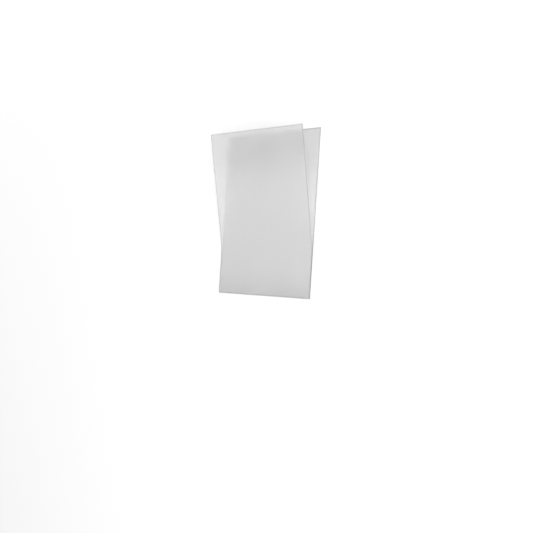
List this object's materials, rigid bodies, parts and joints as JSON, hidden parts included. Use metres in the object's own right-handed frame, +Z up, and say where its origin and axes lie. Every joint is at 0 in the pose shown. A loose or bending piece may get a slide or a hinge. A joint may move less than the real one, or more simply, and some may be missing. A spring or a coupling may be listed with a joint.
{
  "type": "u-shaped poster pocket",
  "caption": "Stiff clear anti-glare film folded once into a U, open at the mouth and sides, that holds an A4 poster between its leaves.",
  "frame": {"origin": "middle of the floor area, on the underside of the flat back leaf", "axes": "+X along the fold, +Y from the fold to the open mouth, +Z up from the back leaf to the raised front leaf"},
  "size_m": [0.21, 0.2982, 0.0539],
  "materials": {
    "antiglare_film": "stiff clear PVC film with a fine anti-glare grain, and bare cut edges"
  },
  "bodies": {
    "root": {"folded_film": "antiglare_film"}
  },
  "joints": []
}
